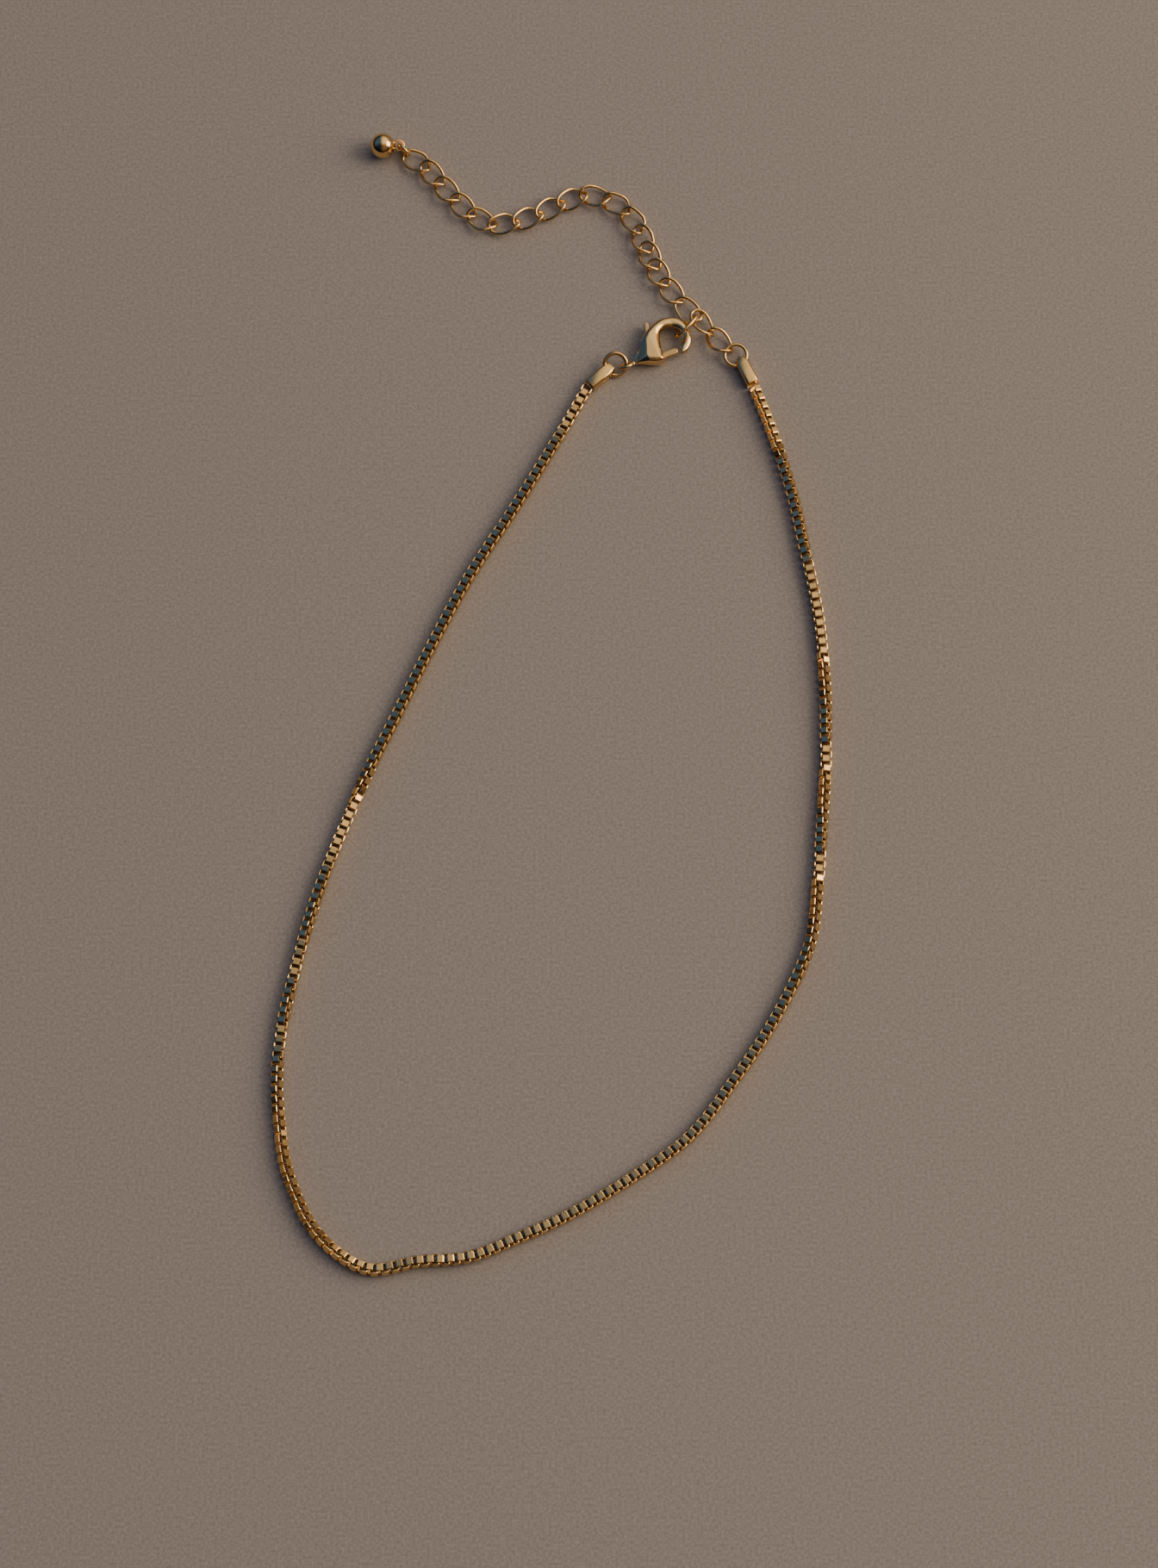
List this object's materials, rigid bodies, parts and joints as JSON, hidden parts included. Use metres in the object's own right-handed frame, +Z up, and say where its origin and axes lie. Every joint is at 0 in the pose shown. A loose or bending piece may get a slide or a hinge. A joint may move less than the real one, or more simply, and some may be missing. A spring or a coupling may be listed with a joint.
{
  "type": "chain necklace",
  "caption": "Box-chain necklace with a lobster clasp hooked into an oval-link extender chain that ends in a small polished ball.",
  "frame": {"origin": "under the middle of the necklace, on the surface it lies on", "axes": "+Z up from the surface, +Y along the necklace from the bottom of the loop towards the extender's end, +X to the right"},
  "size_m": [0.0868, 0.1881, 0.0041],
  "materials": {
    "polished_gold_plate": "polished gold plate",
    "satin_gold_plate": "slightly satin gold plate",
    "spring_steel": "plain spring steel"
  },
  "bodies": {
    "clasp_body": {"clasp_body": "polished_gold_plate", "clasp_spring": "spring_steel", "clasp_rivet": "spring_steel"},
    "clasp_lever": {"clasp_lever": "satin_gold_plate"},
    "clasp_ring": {"clasp_ring": "polished_gold_plate"},
    "end_cap_left": {"end_cap_left": "polished_gold_plate"},
    "chain_run_left_01": {"chain_run_left_01": "polished_gold_plate"},
    "chain_run_left_02": {"chain_run_left_02": "polished_gold_plate"},
    "chain_run_left_03": {"chain_run_left_03": "polished_gold_plate"},
    "chain_run_left_04": {"chain_run_left_04": "polished_gold_plate"},
    "chain_run_left_05": {"chain_run_left_05": "polished_gold_plate"},
    "chain_run_left_06": {"chain_run_left_06": "polished_gold_plate"},
    "chain_run_left_07": {"chain_run_left_07": "polished_gold_plate"},
    "chain_run_left_08": {"chain_run_left_08": "polished_gold_plate"},
    "chain_run_left_09": {"chain_run_left_09": "polished_gold_plate"},
    "chain_run_left_10": {"chain_run_left_10": "polished_gold_plate"},
    "chain_run_left_11": {"chain_run_left_11": "polished_gold_plate"},
    "chain_run_left_12": {"chain_run_left_12": "polished_gold_plate"},
    "chain_run_left_13": {"chain_run_left_13": "polished_gold_plate"},
    "extender_link_03": {"extender_link_03": "polished_gold_plate"},
    "extender_link_02": {"extender_link_02": "polished_gold_plate"},
    "extender_link_01": {"extender_link_01": "polished_gold_plate"},
    "extender_ring": {"extender_ring": "polished_gold_plate"},
    "end_cap_right": {"end_cap_right": "polished_gold_plate"},
    "chain_run_right_01": {"chain_run_right_01": "polished_gold_plate"},
    "chain_run_right_02": {"chain_run_right_02": "polished_gold_plate"},
    "chain_run_right_03": {"chain_run_right_03": "polished_gold_plate"},
    "chain_run_right_04": {"chain_run_right_04": "polished_gold_plate"},
    "chain_run_right_05": {"chain_run_right_05": "polished_gold_plate"},
    "chain_run_right_06": {"chain_run_right_06": "polished_gold_plate"},
    "chain_run_right_07": {"chain_run_right_07": "polished_gold_plate"},
    "chain_run_right_08": {"chain_run_right_08": "polished_gold_plate"},
    "chain_run_right_09": {"chain_run_right_09": "polished_gold_plate"},
    "chain_run_right_10": {"chain_run_right_10": "polished_gold_plate"},
    "chain_run_right_11": {"chain_run_right_11": "polished_gold_plate"},
    "chain_run_right_12": {"chain_run_right_12": "polished_gold_plate"},
    "chain_run_right_13": {"chain_run_right_13": "polished_gold_plate"},
    "extender_link_04": {"extender_link_04": "polished_gold_plate"},
    "extender_link_05": {"extender_link_05": "polished_gold_plate"},
    "extender_link_06": {"extender_link_06": "polished_gold_plate"},
    "extender_link_07": {"extender_link_07": "polished_gold_plate"},
    "extender_link_08": {"extender_link_08": "polished_gold_plate"},
    "extender_link_09": {"extender_link_09": "polished_gold_plate"},
    "extender_link_10": {"extender_link_10": "polished_gold_plate"},
    "extender_link_11": {"extender_link_11": "polished_gold_plate"},
    "extender_link_12": {"extender_link_12": "polished_gold_plate"},
    "extender_link_13": {"extender_link_13": "polished_gold_plate"},
    "extender_link_14": {"extender_link_14": "polished_gold_plate"},
    "extender_link_15": {"extender_link_15": "polished_gold_plate"},
    "extender_link_16": {"extender_link_16": "polished_gold_plate"},
    "extender_link_17": {"extender_link_17": "polished_gold_plate"},
    "extender_link_18": {"extender_link_18": "polished_gold_plate"},
    "extender_link_19": {"extender_link_19": "polished_gold_plate"},
    "extender_link_20": {"extender_link_20": "polished_gold_plate"},
    "ball_ring": {"ball_ring": "polished_gold_plate"},
    "end_ball": {"end_ball": "polished_gold_plate"}
  },
  "joints": [
    {"name": "lever_turn", "type": "hinge", "parent": "clasp_body", "child": "clasp_lever", "pos_m": [0.01576, 0.05476, 0.0014], "axis": [0, 0, 1], "range_deg": [0, 25], "stiffness_Nm_per_rad": 0.015, "springref_deg": -20.05},
    {"name": "clasp_ring_turn", "type": "hinge", "parent": "clasp_body", "child": "clasp_ring", "pos_m": [0.0113, 0.0531, 0.0014], "axis": [1, 0, 0], "range_deg": [-30, 30]},
    {"name": "left_cap_lift", "type": "hinge", "parent": "clasp_ring", "child": "end_cap_left", "pos_m": [0.00823, 0.05227, 0.00105], "axis": [0.6508, -0.7593, 0], "range_deg": [-45, 45]},
    {"name": "left_01_lift", "type": "hinge", "parent": "end_cap_left", "child": "chain_run_left_01", "pos_m": [0.005, 0.0494, 0.001], "axis": [-0.8794, 0.4762, 0], "range_deg": [-20, 20]},
    {"name": "left_02_lift", "type": "hinge", "parent": "chain_run_left_01", "child": "chain_run_left_02", "pos_m": [-0.00133, 0.03784, 0.001], "axis": [0.8685, -0.4957, 0], "range_deg": [-20, 20]},
    {"name": "left_03_lift", "type": "hinge", "parent": "chain_run_left_02", "child": "chain_run_left_03", "pos_m": [-0.00802, 0.02649, 0.001], "axis": [-0.8467, 0.5321, 0], "range_deg": [-20, 20]},
    {"name": "left_04_lift", "type": "hinge", "parent": "chain_run_left_03", "child": "chain_run_left_04", "pos_m": [-0.0148, 0.01519, 0.001], "axis": [0.8848, -0.466, 0], "range_deg": [-20, 20]},
    {"name": "left_05_lift", "type": "hinge", "parent": "chain_run_left_04", "child": "chain_run_left_05", "pos_m": [-0.02068, 0.0034, 0.001], "axis": [-0.9037, 0.4281, 0], "range_deg": [-20, 20]},
    {"name": "left_06_lift", "type": "hinge", "parent": "chain_run_left_05", "child": "chain_run_left_06", "pos_m": [-0.02625, -0.00854, 0.001], "axis": [0.9013, -0.4333, 0], "range_deg": [-20, 20]},
    {"name": "left_07_lift", "type": "hinge", "parent": "chain_run_left_06", "child": "chain_run_left_07", "pos_m": [-0.03165, -0.02056, 0.001], "axis": [-0.9272, 0.3747, 0], "range_deg": [-20, 20]},
    {"name": "left_08_lift", "type": "hinge", "parent": "chain_run_left_07", "child": "chain_run_left_08", "pos_m": [-0.03624, -0.03292, 0.001], "axis": [0.9512, -0.3086, 0], "range_deg": [-20, 20]},
    {"name": "left_09_lift", "type": "hinge", "parent": "chain_run_left_08", "child": "chain_run_left_09", "pos_m": [-0.03983, -0.04559, 0.001], "axis": [-0.9737, 0.2276, 0], "range_deg": [-20, 20]},
    {"name": "left_10_lift", "type": "hinge", "parent": "chain_run_left_09", "child": "chain_run_left_10", "pos_m": [-0.04231, -0.05853, 0.001], "axis": [0.9959, -0.0903, 0], "range_deg": [-20, 20]},
    {"name": "left_11_lift", "type": "hinge", "parent": "chain_run_left_10", "child": "chain_run_left_11", "pos_m": [-0.04201, -0.07167, 0.001], "axis": [-0.9929, -0.1193, 0], "range_deg": [-20, 20]},
    {"name": "left_12_lift", "type": "hinge", "parent": "chain_run_left_11", "child": "chain_run_left_12", "pos_m": [-0.03842, -0.08426, 0.001], "axis": [0.8907, 0.4545, 0], "range_deg": [-20, 20]},
    {"name": "left_13_lift", "type": "hinge", "parent": "chain_run_left_12", "child": "chain_run_left_13", "pos_m": [-0.02912, -0.09317, 0.001], "axis": [-0.1604, -0.9871, 0], "range_deg": [-20, 20]},
    {"name": "hooked_link_turn", "type": "hinge", "parent": "clasp_body", "child": "extender_link_03", "pos_m": [0.02013, 0.05968, 0.00083], "axis": [0.7005, -0.7137, 0], "range_deg": [-20, 20]},
    {"name": "extender_link_02_turn", "type": "hinge", "parent": "extender_link_03", "child": "extender_link_02", "pos_m": [0.02239, 0.06186, 0.00176], "axis": [-0.3294, 0.2089, -0.9208], "range_deg": [-25, 15]},
    {"name": "extender_link_01_turn", "type": "hinge", "parent": "extender_link_02", "child": "extender_link_01", "pos_m": [0.02523, 0.05897, 0.00133], "axis": [-0.7103, -0.4028, -0.5772], "range_deg": [-25, 25]},
    {"name": "extender_ring_turn", "type": "hinge", "parent": "extender_link_01", "child": "extender_ring", "pos_m": [0.02777, 0.05559, 0.00136], "axis": [0.562, 0.3427, -0.7528], "range_deg": [-25, 25]},
    {"name": "right_cap_lift", "type": "hinge", "parent": "extender_ring", "child": "end_cap_right", "pos_m": [0.0301, 0.0535, 0.00105], "axis": [0.9026, 0.4305, 0], "range_deg": [-45, 45]},
    {"name": "right_01_lift", "type": "hinge", "parent": "end_cap_right", "child": "chain_run_right_01", "pos_m": [0.032, 0.0494, 0.001], "axis": [-0.9389, -0.3443, 0], "range_deg": [-20, 20]},
    {"name": "right_02_lift", "type": "hinge", "parent": "chain_run_right_01", "child": "chain_run_right_02", "pos_m": [0.03626, 0.03693, 0.001], "axis": [0.9596, 0.2813, 0], "range_deg": [-20, 20]},
    {"name": "right_03_lift", "type": "hinge", "parent": "chain_run_right_02", "child": "chain_run_right_03", "pos_m": [0.03927, 0.02411, 0.001], "axis": [-0.9848, -0.1738, 0], "range_deg": [-20, 20]},
    {"name": "right_04_lift", "type": "hinge", "parent": "chain_run_right_03", "child": "chain_run_right_04", "pos_m": [0.04152, 0.01113, 0.001], "axis": [0.9926, 0.1213, 0], "range_deg": [-20, 20]},
    {"name": "right_05_lift", "type": "hinge", "parent": "chain_run_right_04", "child": "chain_run_right_05", "pos_m": [0.04251, -0.00201, 0.001], "axis": [-0.9997, -0.0229, 0], "range_deg": [-20, 20]},
    {"name": "right_06_lift", "type": "hinge", "parent": "chain_run_right_05", "child": "chain_run_right_06", "pos_m": [0.04225, -0.01518, 0.001], "axis": [0.9979, -0.0646, 0], "range_deg": [-20, 20]},
    {"name": "right_07_lift", "type": "hinge", "parent": "chain_run_right_06", "child": "chain_run_right_07", "pos_m": [0.04125, -0.02832, 0.001], "axis": [-0.9961, 0.0879, 0], "range_deg": [-20, 20]},
    {"name": "right_08_lift", "type": "hinge", "parent": "chain_run_right_07", "child": "chain_run_right_08", "pos_m": [0.03976, -0.04141, 0.001], "axis": [0.9716, -0.2365, 0], "range_deg": [-20, 20]},
    {"name": "right_09_lift", "type": "hinge", "parent": "chain_run_right_08", "child": "chain_run_right_09", "pos_m": [0.03458, -0.05348, 0.001], "axis": [-0.8728, 0.4882, 0], "range_deg": [-20, 20]},
    {"name": "right_10_lift", "type": "hinge", "parent": "chain_run_right_09", "child": "chain_run_right_10", "pos_m": [0.02739, -0.06451, 0.001], "axis": [0.8113, -0.5846, 0], "range_deg": [-20, 20]},
    {"name": "right_11_lift", "type": "hinge", "parent": "chain_run_right_10", "child": "chain_run_right_11", "pos_m": [0.01895, -0.07457, 0.001], "axis": [-0.6177, 0.7864, 0], "range_deg": [-20, 20]},
    {"name": "right_12_lift", "type": "hinge", "parent": "chain_run_right_11", "child": "chain_run_right_12", "pos_m": [0.008, -0.08189, 0.001], "axis": [0.5171, -0.8559, 0], "range_deg": [-20, 20]},
    {"name": "right_13_lift", "type": "hinge", "parent": "chain_run_right_12", "child": "chain_run_right_13", "pos_m": [-0.00369, -0.08794, 0.001], "axis": [-0.3896, 0.921, 0], "range_deg": [-20, 20]},
    {"name": "extender_link_04_turn", "type": "hinge", "parent": "extender_link_03", "child": "extender_link_04", "pos_m": [0.02249, 0.06168, 0.00136], "axis": [-0.449, 0.0563, -0.8918], "range_deg": [-25, 25]},
    {"name": "extender_link_05_swing", "type": "hinge", "parent": "extender_link_04", "child": "extender_link_05", "pos_m": [0.01948, 0.06421, 0.00117], "axis": [0, 0, 1], "range_deg": [-25, 20]},
    {"name": "extender_link_06_swing", "type": "hinge", "parent": "extender_link_05", "child": "extender_link_06", "pos_m": [0.01682, 0.06728, 0.00105], "axis": [0, 0, -1], "range_deg": [-25, 25]},
    {"name": "extender_link_07_swing", "type": "hinge", "parent": "extender_link_06", "child": "extender_link_07", "pos_m": [0.01706, 0.07152, 0.00106], "axis": [0, 0, 1], "range_deg": [-25, 25]},
    {"name": "extender_link_08_swing", "type": "hinge", "parent": "extender_link_07", "child": "extender_link_08", "pos_m": [0.01594, 0.07439, 0.00104], "axis": [0, 0, -1], "range_deg": [-25, 25]},
    {"name": "extender_link_09_swing", "type": "hinge", "parent": "extender_link_08", "child": "extender_link_09", "pos_m": [0.01428, 0.07762, 0.00104], "axis": [0, 0, 1], "range_deg": [-25, 25]},
    {"name": "extender_link_10_swing", "type": "hinge", "parent": "extender_link_09", "child": "extender_link_10", "pos_m": [0.01191, 0.0809, 0.00105], "axis": [0, 0, -1], "range_deg": [-25, 25]},
    {"name": "extender_link_11_swing", "type": "hinge", "parent": "extender_link_10", "child": "extender_link_11", "pos_m": [0.00843, 0.08333, 0.00105], "axis": [0, 0, 1], "range_deg": [-25, 25]},
    {"name": "extender_link_12_swing", "type": "hinge", "parent": "extender_link_11", "child": "extender_link_12", "pos_m": [0.00422, 0.08398, 0.00105], "axis": [0, 0, -1], "range_deg": [-25, 25]},
    {"name": "extender_link_13_swing", "type": "hinge", "parent": "extender_link_12", "child": "extender_link_13", "pos_m": [0.00038, 0.08238, 0.00105], "axis": [0, 0, 1], "range_deg": [-25, 25]},
    {"name": "extender_link_14_swing", "type": "hinge", "parent": "extender_link_13", "child": "extender_link_14", "pos_m": [-0.00274, 0.07959, 0.00105], "axis": [0, 0, -1], "range_deg": [-25, 25]},
    {"name": "extender_link_15_swing", "type": "hinge", "parent": "extender_link_14", "child": "extender_link_15", "pos_m": [-0.00657, 0.07807, 0.00105], "axis": [0, 0, 1], "range_deg": [-25, 25]},
    {"name": "extender_link_16_swing", "type": "hinge", "parent": "extender_link_15", "child": "extender_link_16", "pos_m": [-0.01073, 0.07734, 0.00103], "axis": [0, 0, -1], "range_deg": [-25, 25]},
    {"name": "extender_link_17_swing", "type": "hinge", "parent": "extender_link_16", "child": "extender_link_17", "pos_m": [-0.01451, 0.07931, 0.00105], "axis": [0, 0, 1], "range_deg": [-25, 25]},
    {"name": "extender_link_18_swing", "type": "hinge", "parent": "extender_link_17", "child": "extender_link_18", "pos_m": [-0.01725, 0.0823, 0.00105], "axis": [0, 0, -1], "range_deg": [-25, 25]},
    {"name": "extender_link_19_swing", "type": "hinge", "parent": "extender_link_18", "child": "extender_link_19", "pos_m": [-0.02013, 0.08497, 0.00105], "axis": [0, 0, 1], "range_deg": [-25, 25]},
    {"name": "extender_link_20_swing", "type": "hinge", "parent": "extender_link_19", "child": "extender_link_20", "pos_m": [-0.02266, 0.08732, 0.00105], "axis": [0, 0, -1], "range_deg": [-25, 25]},
    {"name": "ball_ring_turn", "type": "hinge", "parent": "extender_link_20", "child": "ball_ring", "pos_m": [-0.02491, 0.09072, 0.00079], "axis": [-0.4295, -0.7287, -0.5334], "range_deg": [-25, 25]},
    {"name": "ball_turn", "type": "hinge", "parent": "ball_ring", "child": "end_ball", "pos_m": [-0.02573, 0.0917, 0.00131], "axis": [0.2087, -0.0543, -0.9765], "range_deg": [-25, 25]}
  ]
}
